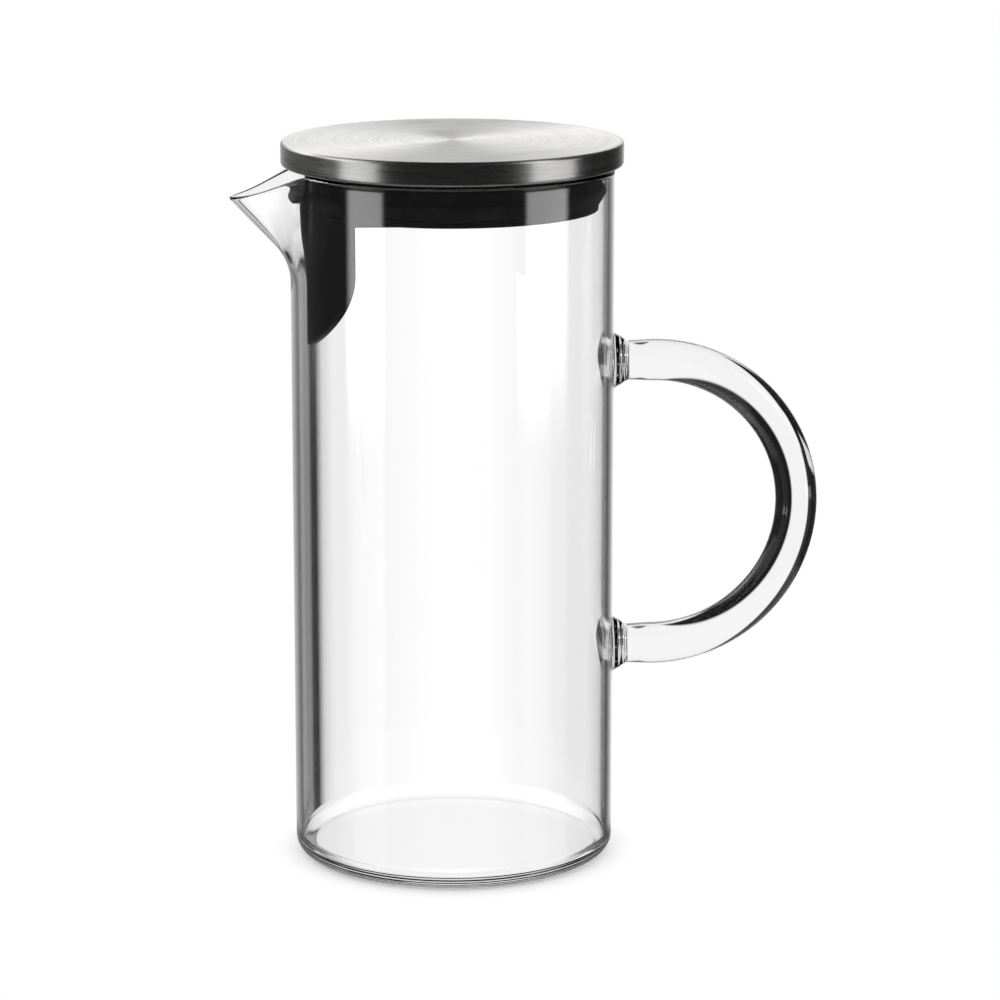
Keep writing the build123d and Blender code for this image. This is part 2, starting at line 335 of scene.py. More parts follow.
def flare(start, end, radius, steps):
    """Rings of a hollow flare from one standoff and radius to another."""
    start, end = Vector(start), Vector(end)
    chord = end - start
    outward = Vector((chord.y, -chord.x)).normalized()
    centre = (start + end) / 2 + outward * math.sqrt(radius**2 - (chord.length / 2) ** 2)
    turns = [math.degrees(math.atan2(p.y - centre.y, p.x - centre.x)) for p in (start, end)]
    return arc(centre, radius, *turns, steps)[1:]


wall_sag = BODY_RADIUS - math.sqrt(BODY_RADIUS**2 - FOOT_RADIUS**2)
foot_rings = ease((HANDLE_LIMB, ROD_RADIUS), NECK, 0, NECK_STEPS)
foot_rings += [*reversed(ease(COLLAR, NECK, -COLLAR_SLOPE, COLLAR_STEPS)[:-1]), COLLAR]
foot_rings += flare(COLLAR, (-wall_sag, FOOT_RADIUS), FLARE_RADIUS, FLARE_STEPS)
foot_rings.append((-wall_sag - FOOT_SINK, FOOT_RADIUS))
print(len(foot_rings), "rings in each foot")

# %% Bend the rod
HANDLE_SPAN = 90.8
HANDLE_HEIGHT = 110.6
ROD_SIDES = 96
BEND_STEPS = 144

bend_x = BODY_RADIUS + HANDLE_LIMB
foot_heights = [HANDLE_HEIGHT + HANDLE_SPAN / 2, HANDLE_HEIGHT - HANDLE_SPAN / 2]
clear_selection()
bpy.ops.mesh.primitive_circle_add(
    vertices=ROD_SIDES,
    radius=ROD_RADIUS * MM,
    location=(bend_x * MM, 0, foot_heights[0] * MM),
    rotation=(0, math.radians(90), 0),
)
rod_handle = bpy.context.object
rod_handle.name = rod_handle.data.name = "rod_handle"
bpy.ops.object.transform_apply(location=True, rotation=True, scale=True)
bpy.ops.object.mode_set(mode="EDIT")
bpy.ops.mesh.select_all(action="SELECT")
bpy.ops.mesh.spin(
    steps=BEND_STEPS, angle=math.pi, center=(bend_x * MM, 0, HANDLE_HEIGHT * MM), axis=(0, -1, 0)
)
print("bend of", BEND_STEPS, "steps round", ROD_SIDES, "sides")

# %% Shape the feet


def select_where(piece, test):
    """Select the vertices whose place, in millimetres, passes the test."""
    bpy.ops.mesh.select_mode(type="VERT")
    bpy.ops.mesh.select_all(action="DESELECT")
    bpy.ops.object.mode_set(mode="OBJECT")
    for vertex in piece.data.vertices:
        vertex.select = test(vertex.co / MM)
    bpy.ops.object.mode_set(mode="EDIT")


for foot in foot_heights:
    select_where(rod_handle, lambda p: abs(p.x - bend_x) < NEAR and abs(p.z - foot) < ROD_RADIUS + NEAR)
    here, wide = HANDLE_LIMB, ROD_RADIUS
    for standoff, radius in foot_rings:
        step = (standoff - here) * MM
        bpy.ops.mesh.extrude_edges_move(TRANSFORM_OT_translate={"value": (step, 0, 0)})
        middle = ((BODY_RADIUS + standoff) * MM, 0, foot * MM)
        grow = radius / wide
        bpy.ops.transform.resize(value=(1, grow, grow), center_override=middle)
        here, wide = standoff, radius
    bpy.ops.mesh.edge_face_add()
bpy.ops.mesh.select_all(action="SELECT")
bpy.ops.mesh.normals_make_consistent(inside=False)
bpy.ops.object.mode_set(mode="OBJECT")
print("rod handle of", len(rod_handle.data.polygons), "faces")

# %% [markdown]
# ## Welding the handle on
# Where the feet were melted onto the jug there is no surface left between the two: light goes from the
# rod straight into the wall. Two closed meshes that only touch would show a mirror there. So the foot's
# outline is cut into the wall with Intersect, the stub inside the wall is deleted, and both pieces keep
# the same patch as their common face. Those patches get a clear finish of their own that bends no light.

# %% Cut the feet's outlines into the wall
clear_selection()
rod_handle.select_set(True)
bpy.context.view_layer.objects.active = rod_handle
bpy.ops.object.vertex_group_add()
rod_handle.vertex_groups.active.name = "rod"
bpy.ops.object.mode_set(mode="EDIT")
bpy.ops.mesh.select_all(action="SELECT")
bpy.ops.object.vertex_group_assign()
bpy.ops.object.mode_set(mode="OBJECT")
blown_body.select_set(True)
bpy.context.view_layer.objects.active = blown_body
bpy.ops.object.join()
bpy.ops.object.mode_set(mode="EDIT")
bpy.ops.mesh.select_mode(type="EDGE")
bpy.ops.mesh.select_all(action="DESELECT")
bpy.ops.object.vertex_group_set_active(group="rod")
bpy.ops.object.vertex_group_select()
bpy.ops.mesh.intersect(mode="SELECT_UNSELECT", separate_mode="CUT", solver="EXACT")
bpy.ops.mesh.mark_seam()
print("before the cut:", len(blown_body.data.polygons), "faces")

# %% Take out the stubs and mark the patches
STUB_REACH = 1
PATCH_REACH = 4


def select_up_to_seam(piece, test):
    """Select the faces whose middle, in millimetres, passes the test, and all up to the seam round them."""
    bpy.ops.mesh.select_mode(type="FACE")
    bpy.ops.mesh.select_all(action="DESELECT")
    bpy.ops.object.mode_set(mode="OBJECT")
    for face in piece.data.polygons:
        face.select = test(face.center / MM)
    bpy.ops.object.mode_set(mode="EDIT")
    bpy.ops.mesh.select_linked(delimit={"SEAM"})


def near_foot(point, reach):
    """Whether a point lies within reach of the middle line of a foot."""
    return point.x > 0 and any(math.hypot(point.y, point.z - z) < reach for z in foot_heights)


def on_wall(point):
    """Whether the middle of a face lies on the outside of the round wall."""
    facet_middle = BODY_RADIUS * math.cos(math.pi / TURN_STEPS)
    return facet_middle - NEAR < math.hypot(point.x, point.y) < BODY_RADIUS


sunk = BODY_RADIUS + foot_rings[-1][0]
select_up_to_seam(blown_body, lambda p: abs(p.x - sunk) < NEAR and near_foot(p, STUB_REACH))
bpy.ops.mesh.delete(type="FACE")
select_up_to_seam(blown_body, lambda p: on_wall(p) and near_foot(p, PATCH_REACH))
bpy.ops.object.mode_set(mode="OBJECT")
for face in blown_body.data.polygons:
    face.material_index = int(face.select)
print("after the cut:", len(blown_body.data.polygons), "faces")

# %% Part the two pieces again
PATCH_MERGE_GAP = 0.0005
SMOOTH_ANGLE = 30


def smooth(piece, angle=SMOOTH_ANGLE):
    """Shade a piece smooth, with edges sharper than an angle kept."""
    clear_selection()
    piece.select_set(True)
    bpy.context.view_layer.objects.active = piece
    bpy.ops.object.shade_smooth_by_angle(angle=math.radians(angle))


bpy.ops.object.mode_set(mode="EDIT")
bpy.ops.mesh.duplicate()
bpy.ops.mesh.flip_normals()
bpy.ops.object.vertex_group_assign()
bpy.ops.mesh.select_all(action="DESELECT")
bpy.ops.object.vertex_group_select()
bpy.ops.mesh.select_linked()
bpy.ops.mesh.separate(type="SELECTED")
bpy.ops.object.mode_set(mode="OBJECT")
rod_handle = next(o for o in bpy.context.selected_objects if o != blown_body)
rod_handle.name = rod_handle.data.name = "rod_handle"
clear_selection()
bpy.context.view_layer.objects.active = rod_handle
rod_handle.select_set(True)
bpy.ops.object.mode_set(mode="EDIT")
bpy.ops.mesh.select_all(action="SELECT")
bpy.ops.mesh.remove_doubles(threshold=PATCH_MERGE_GAP * MM)
bpy.ops.object.mode_set(mode="OBJECT")
for piece in (blown_body, rod_handle):
    piece.vertex_groups.clear()
    smooth(piece)
    patch_faces = sum(face.material_index for face in piece.data.polygons)
    print(piece.name, "has", patch_faces, "faces in its weld patches")

# %% [markdown]
# ## The steel cover
# The lid's top is a thin pressed sheet: a flat disc, a short upright skirt and an edge that is rolled
# in under the plug. Its section is drawn as a closed line, so the sheet has its real thickness and the
# rolled edge is there when the lid is lifted off.

# %% Turn the cover
CAP_OVERHANG = 2.7
CAP_LIFT = 1.0
CAP_HEIGHT = 7.35
CAP_RADIUS = BODY_RADIUS + CAP_OVERHANG
CAP_BOTTOM = RIM_HEIGHT + CAP_LIFT
CAP_TOP = CAP_BOTTOM + CAP_HEIGHT
SHEET = 0.6
CAP_EDGE = 1.1
HEM_BEND = 1.0
HEM_WIDTH = 2.4
HEM_INNER = CAP_RADIUS - HEM_WIDTH
HEM_EDGE = 0.15
LID_STEPS = 360


def dress(piece, body, node):
    """The piece rides on its body and stands for its CAD node, which it hides."""
    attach(piece, body)
    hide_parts(node)
    piece.data.calc_loop_triangles()
    print(piece.name, "stands for", node, "with", len(piece.data.loop_triangles), "triangles")


cover_section = stroke(
    [
        (0, CAP_TOP, 0),
        (CAP_RADIUS, CAP_TOP, CAP_EDGE),
        (CAP_RADIUS, CAP_BOTTOM, HEM_BEND),
        (HEM_INNER, CAP_BOTTOM, HEM_EDGE),
        (HEM_INNER, CAP_BOTTOM + SHEET, HEM_EDGE),
        (CAP_RADIUS - SHEET, CAP_BOTTOM + SHEET, HEM_BEND - SHEET),
        (CAP_RADIUS - SHEET, CAP_TOP - SHEET, CAP_EDGE - SHEET),
        (0, CAP_TOP - SHEET, 0),
    ]
)
steel_cover = spin_round(draw("steel_cover", cover_section), LID_STEPS)
smooth(steel_cover)
dress(steel_cover, "lid", "lid_cap")

# %% [markdown]
# ## The seal
# A black ring sits in the plug's groove. Its flange lies over the rim, and one soft lip leans on the
# bore, which bends it upwards. In front of the pouring lip there is no wall to bend it, so there it
# springs out flat. The ring is turned with its lip bent, and the free stretch is then let down again.

# %% Sizes of plug and seal
PLUG_GAP = 2.8
PLUG_DEPTH = 12.4
PLUG_FLOOR = 1.8
PLUG_RADIUS = BORE - PLUG_GAP
PLUG_BOTTOM = RIM_HEIGHT - PLUG_DEPTH
SEAL_PROUD = 0.3
SEAL_HOOP = 1.9
SEAL_FIT = 0.1
RIM_GAP = 0.15
SEAL_FLANGE = 0.7
SEAL_FLANGE_INSET = 0.6
SEAL_OUTER = PLUG_RADIUS + SEAL_PROUD
SEAL_INNER = SEAL_OUTER - SEAL_HOOP
SEAL_BOTTOM = PLUG_BOTTOM + PLUG_FLOOR + SEAL_FIT
SEAL_FLANGE_BOTTOM = RIM_HEIGHT + RIM_GAP
SEAL_TOP = SEAL_FLANGE_BOTTOM + SEAL_FLANGE
SEAL_FLANGE_RADIUS = BODY_RADIUS - SEAL_FLANGE_INSET
print("ring from radius", round(SEAL_INNER, 2), "to", round(SEAL_OUTER, 2), "mm")

# %% How far the bore bends the lip
SEAL_LIP_RISE = 3.3
SEAL_LIP_HEIGHT = PLUG_BOTTOM + SEAL_LIP_RISE
SEAL_LIP_LENGTH = 3.7
SEAL_LIP_HALF = 0.7
SEAL_LIP_ROUND = 0.5
SEAL_WALL_GAP = 0.3

lip_room = BORE - SEAL_WALL_GAP - SEAL_OUTER
lip_corner = math.hypot(SEAL_LIP_LENGTH, SEAL_LIP_HALF)
bent_tilt = math.acos(lip_room / lip_corner) + math.atan2(SEAL_LIP_HALF, SEAL_LIP_LENGTH)
bent_tilt = round(math.degrees(bent_tilt), 2)
tip_radius = (SEAL_LIP_HALF**2 + SEAL_LIP_ROUND**2) / (2 * SEAL_LIP_ROUND)
tip_side = math.degrees(math.asin(SEAL_LIP_HALF / tip_radius))
tip_middle = (SEAL_LIP_LENGTH + SEAL_LIP_ROUND - tip_radius, 0)
print("the bore bends the seal's lip up by", bent_tilt, "degrees")

# %% Section of the seal
SEAL_EDGE = 0.2
SEAL_ROOT = 0.2
SHOULDER = (0.15, 0.4)
LIP_POINTS = 5
EDGE_STEPS = 4
FLANGE_STEPS = 6


def lip_place(out, up, tilt):
    """Radius and height of a point of the seal's lip, given along and across the lip."""
    cos, sin = math.cos(math.radians(tilt)), math.sin(math.radians(tilt))
    return SEAL_OUTER + out * cos - up * sin, SEAL_LIP_HEIGHT + out * sin + up * cos


def seal_line(tilt):
    """Closed section of the seal with its lip tilted up by an angle in degrees."""
    base = [(SEAL_INNER, SEAL_TOP, 0), (SEAL_INNER, SEAL_BOTTOM, SEAL_EDGE)]
    base += [(SEAL_OUTER, SEAL_BOTTOM, SEAL_EDGE), (SEAL_OUTER, SEAL_TOP, 0)]
    root = SEAL_ROOT + SEAL_LIP_HALF * math.tan(math.radians(tilt))
    below = [SEAL_ROOT + (SEAL_LIP_LENGTH - SEAL_ROOT) * i / LIP_POINTS for i in range(LIP_POINTS)]
    spaces = LIP_POINTS - 1
    above = [root + (SEAL_LIP_LENGTH - root) * i / spaces for i in reversed(range(spaces))]
    lip = [(out, -SEAL_LIP_HALF) for out in below]
    lip += arc(tip_middle, tip_radius, -tip_side, tip_side)
    lip += [(out, SEAL_LIP_HALF) for out in above]
    lip = [lip_place(out, up, tilt) for out, up in lip]
    shoulder = [(SEAL_OUTER, lip[-1][1] + up) for up in SHOULDER]
    head = [(SEAL_OUTER, SEAL_BOTTOM, 0), (SEAL_OUTER, SEAL_FLANGE_BOTTOM, 2 * SEAL_EDGE)]
    head += [(SEAL_FLANGE_RADIUS, z, SEAL_EDGE) for z in (SEAL_FLANGE_BOTTOM, SEAL_TOP)]
    head += [(SEAL_INNER, SEAL_TOP, SEAL_EDGE), (SEAL_INNER, SEAL_BOTTOM, 0)]
    return stroke(base, EDGE_STEPS)[1:-1] + lip + shoulder + stroke(head, FLANGE_STEPS)[1:-1]


bent_line = seal_line(bent_tilt)
print("section of the seal with", len(bent_line), "points")

# %% Turn the seal and let its lip spring out
SEAL_FLAT_ANGLE = 9.0
SEAL_BENT_ANGLE = 21.0
SEAL_SMOOTH_ANGLE = 50

soft_seal = spin_round(draw("soft_seal", [*bent_line, bent_line[0]]), LID_STEPS)
for vertex in soft_seal.data.vertices:
    x, y, z = vertex.co / MM
    angle = abs(math.degrees(math.atan2(-y, -x)))
    if angle < SEAL_BENT_ANGLE:
        plain = math.hypot(x, y)
        gaps = [math.hypot(r - plain, height - z) for r, height in bent_line]
        bent_share = max(angle - SEAL_FLAT_ANGLE, 0) / (SEAL_BENT_ANGLE - SEAL_FLAT_ANGLE)
        free_line = seal_line(bent_tilt * (3 - 2 * bent_share) * bent_share**2)
        radius, z = free_line[gaps.index(min(gaps))]
        vertex.co = Vector((x * radius / plain, y * radius / plain, z)) * MM
soft_seal.data.update()
smooth(soft_seal, SEAL_SMOOTH_ANGLE)
dress(soft_seal, "seal", "seal_ring")

# %% [markdown]
# ## The pouring tongue
# A black tongue hangs from the plug in front of the lip and holds back what floats in a drink. It is a
# piece of a thin cylinder with upright sides and a rounded lower edge. Its outline is drawn flat, loops
# are extruded inwards from it and scaled down, for the rounded rim first and then for the face, and the
# whole blank is bent round the plug. A seat behind its top edge lies under the plug and carries two
# pegs, which are riveted over inside the plug and hidden by it.

# %% Draw the flat outline
TONGUE_HALF_ANGLE = 43.4
TONGUE_SIDE = 16.4
TONGUE_TIP = 25.5
TOP_STEPS = 40
SIDE_STEPS = 10
TIP_STEPS = 80

tongue_width = PLUG_RADIUS * math.sin(math.radians(TONGUE_HALF_ANGLE))
side_end = PLUG_BOTTOM - TONGUE_SIDE
tongue_half = (TONGUE_SIDE + TONGUE_TIP) / 2
tongue_centre = (0, 0, (PLUG_BOTTOM - tongue_half) * MM)
outline = [(-tongue_width + 2 * tongue_width * i / TOP_STEPS, PLUG_BOTTOM) for i in range(TOP_STEPS + 1)]
outline += [(tongue_width, PLUG_BOTTOM - TONGUE_SIDE * i / SIDE_STEPS) for i in range(1, SIDE_STEPS)]
lower = [math.radians(180 * i / TIP_STEPS) for i in range(TIP_STEPS + 1)]
outline += [(tongue_width * math.cos(t), side_end - TONGUE_TIP * math.sin(t)) for t in lower]
outline += [(-tongue_width, side_end + TONGUE_SIDE * i / SIDE_STEPS) for i in range(1, SIDE_STEPS)]
pour_tongue = draw("pour_tongue", [*outline, outline[0]])
bpy.ops.mesh.select_all(action="SELECT")
bpy.ops.mesh.remove_doubles(threshold=MERGE_GAP * MM)
bpy.ops.transform.rotate(value=math.radians(90), orient_axis="Z", center_override=tongue_centre)
print("outline of", len(outline), "points")

# %% Round the rim, fill the faces and bend the blank
TONGUE_THICKNESS = 1.8
TONGUE_EDGE = 0.5
FACE_LOOPS = [0.975, 0.9, 0.8, 0.68, 0.56, 0.44, 0.32, 0.2, 0.08]
ROUND_STEPS = 5

half_thick = TONGUE_THICKNESS / 2
turns = [math.radians(90 * i / ROUND_STEPS) for i in range(ROUND_STEPS + 1)]
insets = [TONGUE_EDGE * (1 - math.cos(t)) for t in turns]
rises = [half_thick + TONGUE_EDGE * (math.sin(t) - 1) for t in turns]
for side in (1, -1):
    select_where(pour_tongue, lambda p: abs(p.x) < NEAR)
    inset, rise, scale = 0, 0, 1
    for next_inset, next_rise in zip(insets, rises):
        lift = (side * (next_rise - rise) * MM, 0, 0)
        bpy.ops.mesh.extrude_edges_move(TRANSFORM_OT_translate={"value": lift})
        shrink = [(half - next_inset) / (half - inset) for half in (tongue_width, tongue_half)]
        bpy.ops.transform.resize(value=(1, *shrink), center_override=tongue_centre)
        inset, rise = next_inset, next_rise
    for next_scale in FACE_LOOPS:
        bpy.ops.mesh.extrude_edges_move(TRANSFORM_OT_translate={"value": (0, 0, 0)})
        shrink = next_scale / scale
        bpy.ops.transform.resize(value=(1, shrink, shrink), center_override=tongue_centre)
        scale = next_scale
    bpy.ops.mesh.merge(type="CENTER")
bpy.ops.object.mode_set(mode="OBJECT")
for vertex in pour_tongue.data.vertices:
    radius = PLUG_RADIUS * MM - half_thick * MM + vertex.co.x
    vertex.co.x = -math.sqrt(radius**2 - vertex.co.y**2)
pour_tongue.data.update()
bpy.ops.object.mode_set(mode="EDIT")
bpy.ops.mesh.select_all(action="SELECT")
bpy.ops.mesh.normals_make_consistent(inside=False)
bpy.ops.object.mode_set(mode="OBJECT")
tongue_low = min(v.co.z for v in pour_tongue.data.vertices) / MM
print("tongue reaches", round(PLUG_BOTTOM - tongue_low, 2), "mm down")

# %% Seat under the plug
SEAT_WIDTH = 13.0
SEAT_THICKNESS = 1.5
SEAT_SUNK = 0.05
SEAT_STEPS = 180

seat_inner, seat_outer = PLUG_RADIUS - SEAT_WIDTH, PLUG_RADIUS - half_thick
seat_top, seat_bottom = PLUG_BOTTOM - SEAT_SUNK, PLUG_BOTTOM - SEAT_THICKNESS
seat_section = [(seat_inner, seat_top), (seat_outer, seat_top), (seat_outer, seat_bottom)]
seat_section += [(seat_inner, seat_bottom), (seat_inner, seat_top)]
seat = spin_round(draw("seat", seat_section), SEAT_STEPS)
bpy.ops.object.mode_set(mode="EDIT")
for cut_at, outward in (((0, 0, 0), (1, 0, 0)), ((0, 1, 0), (0, 1, 0)), ((0, -1, 0), (0, -1, 0))):
    bpy.ops.mesh.select_all(action="SELECT")
    cut = Vector(cut_at) * tongue_width * MM
    bpy.ops.mesh.bisect(plane_co=cut, plane_no=outward, use_fill=True, clear_outer=True)
bpy.ops.object.mode_set(mode="OBJECT")
print("seat", round(seat_outer - seat_inner, 2), "mm wide")

# %% Pegs, and all in one
PEG_RADIUS = 2.0
PEG_HEAD_RADIUS = 3.0
PEG_HEAD = 1.2
PEG_INSET = 9.0
PEG_ANGLE = 24.0
PEG_SIDES = 64
TONGUE_SMOOTH_ANGLE = 40

tools = [seat]
peg_circle = PLUG_RADIUS - PEG_INSET
peg_foot = PLUG_BOTTOM - SEAT_THICKNESS / 2
head_foot = PLUG_BOTTOM + PLUG_FLOOR
stages = [(PEG_RADIUS, peg_foot, head_foot + PEG_HEAD / 2)]
stages += [(PEG_HEAD_RADIUS, head_foot, head_foot + PEG_HEAD)]
for turn in (-PEG_ANGLE, PEG_ANGLE):
    x = -peg_circle * math.cos(math.radians(turn))
    y = peg_circle * math.sin(math.radians(turn))
    for radius, low, high in stages:
        clear_selection()
        middle = Vector((x, y, (low + high) / 2)) * MM
        bpy.ops.mesh.primitive_cylinder_add(
            vertices=PEG_SIDES, radius=radius * MM, depth=(high - low) * MM, location=middle
        )
        tools.append(bpy.context.object)
for tool in tools:
    clear_selection()
    bpy.context.view_layer.objects.active = pour_tongue
    union = pour_tongue.modifiers.new("union", "BOOLEAN")
    union.operation = "UNION"
    union.solver = "EXACT"
    union.object = tool
    bpy.ops.object.modifier_apply(modifier="union")
    bpy.data.objects.remove(tool)
smooth(pour_tongue, TONGUE_SMOOTH_ANGLE)
dress(pour_tongue, "lid", "spout_guard")

# %% [markdown]
# ## Tools for finishes
# Each finish is one Principled shader whose detail is worked out from the piece's own coordinates. Small
# helpers keep that readable: one places a node and fills its inputs with numbers or links, one stretches
# a number from one range to another, and others start a material or a node group.

# %% Placing nodes


def feed(tree, node, inputs):
    """Put a number, a colour or a link into each named input of a node."""
    for key, value in inputs.items():
        if isinstance(value, bpy.types.NodeSocket):
            tree.links.new(value, node.inputs[key])
        else:
            node.inputs[key].default_value = value


def place(tree, kind, inputs=None, **settings):
    """New node with its settings and inputs."""
    node = tree.nodes.new("ShaderNode" + kind)
    for key, value in settings.items():
        setattr(node, key, value)
    feed(tree, node, inputs or {})
    return node


def remap(tree, value, start, end, first, last, blend="LINEAR"):
    """Number that runs from first to last while the value runs from start to end."""
    inputs = {"Value": value, "From Min": start, "From Max": end, "To Min": first, "To Max": last}
    return place(tree, "MapRange", inputs, interpolation_type=blend).outputs["Result"]


def two_tones(tree, share, dark, pale):
    """Colour between two greys or tints."""
    return place(tree, "Mix", {0: share, 6: (*dark, 1), 7: (*pale, 1)}, data_type="RGBA").outputs[2]


def relief(tree, height, depth, strength):
    """Normal of a surface that a height moulds to a depth in millimetres."""
    inputs = {"Height": height, "Strength": strength, "Distance": depth * MM}
    return place(tree, "Bump", inputs).outputs[0]


print("node helpers: feed, place, remap, two_tones, relief")

# %% Starting materials and groups


def new_finish(name):
    """Material with its tree, its Principled shader and the piece's own coordinates."""
    finish = bpy.data.materials.new(name)
    finish.use_nodes = True
    tree = finish.node_tree
    return finish, tree, tree.nodes["Principled BSDF"], place(tree, "TexCoord").outputs["Object"]


def new_group(name, outputs):
    """Empty node group that takes coordinates and a scale and gives out numbers."""
    group = bpy.data.node_groups.new(name, "ShaderNodeTree")
    group.interface.new_socket("Vector", in_out="INPUT", socket_type="NodeSocketVector")
    group.interface.new_socket("Scale", in_out="INPUT", socket_type="NodeSocketFloat")
    for label in outputs:
        group.interface.new_socket(label, in_out="OUTPUT", socket_type="NodeSocketFloat")
    return group, group.nodes.new("NodeGroupInput").outputs, group.nodes.new("NodeGroupOutput")


def effect(tree, group, coords, scale):
    """Outputs of a shared group at a number of features per metre."""
    node = place(tree, "Group", node_tree=group)
    feed(tree, node, {"Vector": coords, "Scale": scale})
    return node.outputs


print("starters: new_finish, new_group, effect")

# %% [markdown]
# ## Shared effects
# Two effects come back in several finishes, so each is a node group. Moulded grain is the fine skin that
# a spark-eroded mould leaves, with the slow cloudiness of the flow behind it. Handling marks are the soft
# patches where fingers and dish cloths have touched a surface. Most finishes use them to change the
# gloss, and the seal uses them as the patches where dust sticks.

# %% Moulded grain and handling marks
FLOW_SCALE = 60

moulded_grain, given, made = new_group("moulded_grain", ["Height", "Flow"])
fine = {"Vector": given["Vector"], "Scale": given["Scale"], "Detail": 3, "Roughness": 0.6}
slow = {"Vector": given["Vector"], "Scale": FLOW_SCALE, "Distortion": 0.8}
skin = place(moulded_grain, "TexNoise", fine).outputs[0]
cloud = place(moulded_grain, "TexNoise", slow).outputs[0]
feed(moulded_grain, made, {"Height": skin, "Flow": remap(moulded_grain, cloud, 0.35, 0.65, 0, 1)})

handling_marks, given, made = new_group("handling_marks", ["Marks"])
soft = {"Vector": given["Vector"], "Scale": given["Scale"], "Detail": 4, "Distortion": 1.4}
smear = place(handling_marks, "TexNoise", soft).outputs[0]
feed(handling_marks, made, {"Marks": remap(handling_marks, smear, 0.48, 0.7, 0, 1, "SMOOTHSTEP")})
print("shared effects:", moulded_grain.name, "and", handling_marks.name)

# %% [markdown]
# ## Glass
# Clear glass takes all its looks from refraction, so the shader is a plain transmission with the index of
# borosilicate glass. What tells real glass from a perfect solid is a slight unevenness: the drawn tube has
# long shallow waves along its axis, and handling leaves a breath of haze. The waves are a noise that is
# stretched upright, and they stay a few thousandths of a millimetre high, because more would look like ice.

# %% Clear glass and its welds
GLASS_INDEX = 1.47
WAVE_SCALE = 60
WAVE_HEIGHT = 0.006
UPRIGHT_STRETCH = (1, 1, 0.12)
HAZE_SCALE = 28
HAZE = 0.012

glass, tree, shader, coords = new_finish("clear_glass")
upright = place(tree, "Mapping", {"Vector": coords, "Scale": UPRIGHT_STRETCH}).outputs[0]
waves = place(tree, "TexNoise", {"Vector": upright, "Scale": WAVE_SCALE, "Detail": 1}).outputs[0]
haze = effect(tree, handling_marks, coords, HAZE_SCALE)["Marks"]
look = {"Base Color": (1, 1, 1, 1), "IOR": GLASS_INDEX, "Transmission Weight": 1}
look |= {"Roughness": remap(tree, haze, 0, 1, 0, HAZE), "Normal": relief(tree, waves, WAVE_HEIGHT, 1)}
feed(tree, shader, look)

weld, tree, shader, coords = new_finish("weld_patch")
feed(tree, shader, {"Base Color": (1, 1, 1, 1), "Alpha": 0})
for piece, node, slot in (
    (blown_body, "glass_body", "body_glass"),
    (rod_handle, "glass_handle", "handle_glass"),
):
    piece.data.materials.append(glass)
    piece.data.materials.append(weld)
    dress(piece, "jug", node)

# %% [markdown]
# ## Brushed steel
# The cover was brushed on a turntable, so its fine lines run in circles on the disc and round the skirt.
# Such lines spread a reflection across themselves and keep it sharp along themselves: that is what
# anisotropy does, with its direction from a Tangent node that turns about the upright axis. The lines are
# a noise of the distance from the axis and of the height. It is slow along the circle, because each line
# is long. The disc was brushed coarser than the skirt, which keeps sharper reflections.

# %% Lines in circles
LINE_SCALE = 900
LINE_LENGTH = 0.0011

steel, tree, shader, coords = new_finish("brushed_steel")
level = place(tree, "VectorMath", {0: coords, 1: (1, 1, 0)}, operation="MULTIPLY").outputs[0]
from_axis = place(tree, "VectorMath", {0: level}, operation="LENGTH").outputs["Value"]
heading = place(tree, "VectorMath", {0: level}, operation="NORMALIZE").outputs[0]
along = place(tree, "VectorMath", {0: heading, "Scale": LINE_LENGTH}, operation="SCALE").outputs[0]
across = place(tree, "CombineXYZ", {"Z": from_axis}).outputs[0]
track = place(tree, "VectorMath", {0: along, 1: across}, operation="ADD").outputs[0]
steel_height = place(tree, "SeparateXYZ", {0: coords}).outputs["Z"]
brushing = {"Vector": track, "W": steel_height, "Scale": LINE_SCALE, "Detail": 4, "Roughness": 0.8}
lines = place(tree, "TexNoise", brushing, noise_dimensions="4D").outputs[0]
print("steel lines about", round(1000 / LINE_SCALE, 2), "mm apart at most")

# %% Steel brushed in circles
LINE_RANGE = (0.3, 0.7)
SKIRT_GLOSS = (0.24, 0.34)
DISC_GLOSS = (0.34, 0.46)
DISC_DEPTH = 0.1
TOUCH_SCALE = 35
TOUCH_DULLS = 0.03
DARK_LINE = (0.5, 0.495, 0.485)
PALE_LINE = (0.88, 0.875, 0.865)
LINE_DEPTH = 0.008
LINE_STRENGTH = 0.4

on_disc = remap(tree, steel_height, (CAP_TOP - CAP_EDGE) * MM, (CAP_TOP - DISC_DEPTH) * MM, 0, 1)
skirt_gloss = remap(tree, lines, *LINE_RANGE, *SKIRT_GLOSS)
disc_gloss = remap(tree, lines, *LINE_RANGE, *DISC_GLOSS)
gloss = place(tree, "Mix", {0: on_disc, 2: skirt_gloss, 3: disc_gloss}).outputs[0]
touched = effect(tree, handling_marks, coords, TOUCH_SCALE)["Marks"]
dulled = remap(tree, touched, 0, 1, 0, TOUCH_DULLS)
gloss = place(tree, "Math", {0: gloss, 1: dulled}, operation="ADD").outputs[0]
tone = two_tones(tree, remap(tree, lines, *LINE_RANGE, 0, 1), DARK_LINE, PALE_LINE)
turning = place(tree, "Tangent", direction_type="RADIAL", axis="Z").outputs[0]
look = {"Metallic": 1, "Anisotropic": 0.8, "Anisotropic Rotation": 0.25, "Tangent": turning}
look |= {"Base Color": tone, "Roughness": gloss}
look |= {"Normal": relief(tree, lines, LINE_DEPTH, LINE_STRENGTH)}
feed(tree, shader, look)
steel_cover.data.materials.append(steel)
print(steel.name, "with", len(tree.nodes), "nodes")

# %% [markdown]
# ## Black plastic
# Plug and tongue are moulded in black plastic with a fine satin skin. Black is never quite one black: the
# flow in the mould clouds it a little, and handled places are glossier. The grain is a bump of hundredths
# of a millimetre, so it breaks the edge of a highlight and is not seen as dots.

